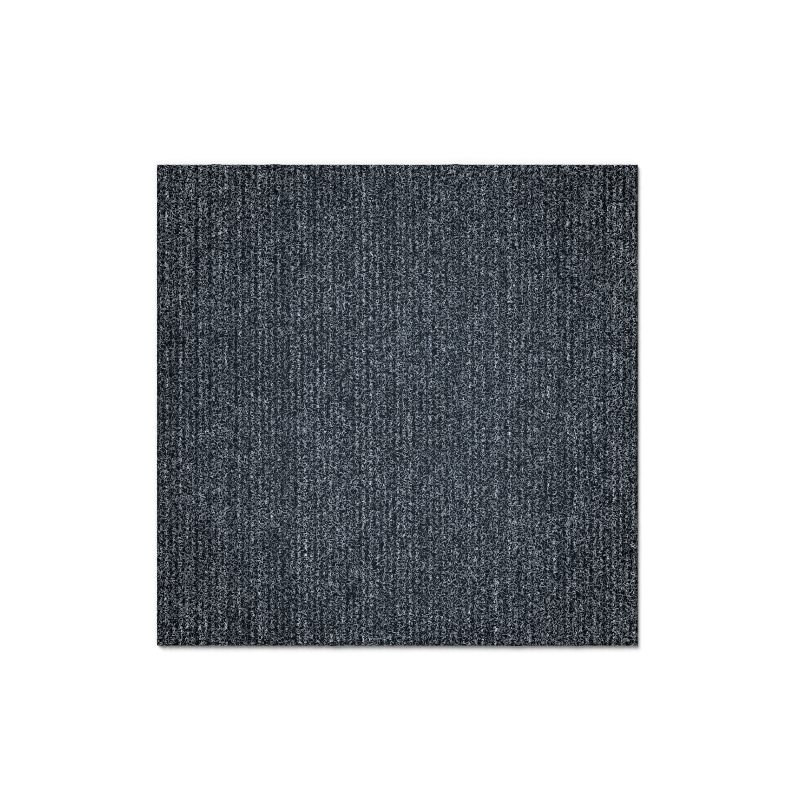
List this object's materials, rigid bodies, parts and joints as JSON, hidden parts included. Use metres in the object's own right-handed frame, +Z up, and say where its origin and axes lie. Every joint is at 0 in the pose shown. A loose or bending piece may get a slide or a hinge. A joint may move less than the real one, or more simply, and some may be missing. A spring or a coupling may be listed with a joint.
{
  "type": "carpet tile",
  "caption": "Square floor tile of ribbed needle-punched textile bonded to a flat rubber backing, for covering floors edge to edge.",
  "frame": {"origin": "middle of the underside, on the floor that the tile lies on", "axes": "+X across the ribs, +Y along the ribs, +Z up out of the textile face"},
  "size_m": [0.4572, 0.4572, 0.006],
  "materials": {
    "rubber_backing": "matte",
    "heather_textile": "matte"
  },
  "bodies": {
    "root": {"backing": "rubber_backing", "pile_face": "heather_textile"}
  },
  "joints": []
}
